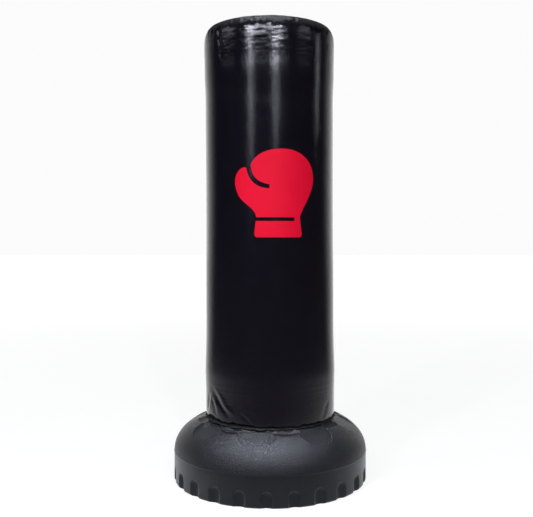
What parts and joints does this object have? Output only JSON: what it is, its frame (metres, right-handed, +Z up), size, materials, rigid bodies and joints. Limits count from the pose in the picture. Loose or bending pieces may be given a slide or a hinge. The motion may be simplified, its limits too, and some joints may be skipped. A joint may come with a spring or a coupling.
{
  "type": "free standing punch bag",
  "caption": "Tall padded cylinder for punch and kick training, screwed onto the threaded neck of a round sand-filled plastic base that stands on the floor.",
  "frame": {"origin": "centre of the base's underside at floor level, on the bag's axis", "axes": "+Z up along the bag; -Y is the front, which carries the emblem; +Y is the back, with the zip and the filler cap"},
  "size_m": [0.68, 0.68, 1.6],
  "materials": {
    "moulded_black": "satin, fine moulded texture",
    "sand": "loose dry sand",
    "rubber_seal": "matte",
    "cap_plastic": "satin",
    "slip_plastic": "smooth, natural white",
    "pipe_plastic": "extruded, satin",
    "screw_steel": "zinc plated",
    "dense_foam": "closed-cell foam",
    "soft_foam": "open-cell foam",
    "vinyl": "fine-grained coated vinyl, semi-gloss",
    "emblem_red": "printed film, semi-gloss",
    "zip_tape": "woven, matte",
    "zip_teeth": "moulded coil",
    "zip_metal": "dark plated"
  },
  "bodies": {
    "base": {"base_tank": "moulded_black", "sand_ballast": "sand"},
    "slip_ring": {"slip_ring": "slip_plastic"},
    "bag": {"threaded_socket": "moulded_black", "core_tube": "pipe_plastic", "tube_top_cap": "moulded_black", "socket_screw_1": "screw_steel", "socket_screw_2": "screw_steel", "socket_screw_3": "screw_steel", "socket_screw_4": "screw_steel", "inner_foam": "dense_foam", "outer_foam": "soft_foam", "top_foam_pad": "soft_foam", "cover_side_panel": "vinyl", "cover_top_panel": "vinyl", "cover_bottom_panel": "vinyl", "top_welt": "vinyl", "bottom_welt": "vinyl", "emblem": "emblem_red", "zip_tape_left": "zip_tape", "zip_tape_right": "zip_tape", "zip_teeth_left": "zip_teeth", "zip_teeth_right": "zip_teeth", "zip_bottom_stop": "zip_metal", "zip_top_stop": "zip_metal"},
    "filler_seal": {"filler_gasket": "rubber_seal"},
    "filler_cap": {"filler_cap": "cap_plastic"},
    "zip_slider": {"zip_slider": "zip_metal"},
    "zip_puller": {"zip_puller": "zip_metal"}
  },
  "joints": [
    {"name": "bag_turn", "type": "hinge", "parent": "base", "child": "slip_ring", "pos_m": [0, 0, 0.224], "axis": [0, 0, 1], "range_deg": [0, 756]},
    {"name": "bag_lift", "type": "slide", "parent": "slip_ring", "child": "bag", "axis": [0, 0, 1], "range_m": [0, 0.0337]},
    {"name": "cap_turn", "type": "hinge", "parent": "base", "child": "filler_seal", "pos_m": [0.04465, 0.26824, 0.19424], "axis": [0.0668, 0.4012, 0.9135], "range_deg": [0, 450]},
    {"name": "cap_lift", "type": "slide", "parent": "filler_seal", "child": "filler_cap", "axis": [0.0668, 0.4012, 0.9135], "range_m": [0, 0.0063]},
    {"name": "zip_travel", "type": "slide", "parent": "bag", "child": "zip_slider", "axis": [0, 0, 1], "range_m": [0, 1.243]},
    {"name": "puller_flip", "type": "hinge", "parent": "zip_slider", "child": "zip_puller", "pos_m": [0, 0.2318, 0.2654], "axis": [1, 0, 0], "range_deg": [0, 175]}
  ],
  "couplings": [
    {"joint": "bag_lift", "follows": "bag_turn", "m_per_rad": 0.0025465},
    {"joint": "cap_lift", "follows": "cap_turn", "m_per_rad": 0.00079577}
  ]
}
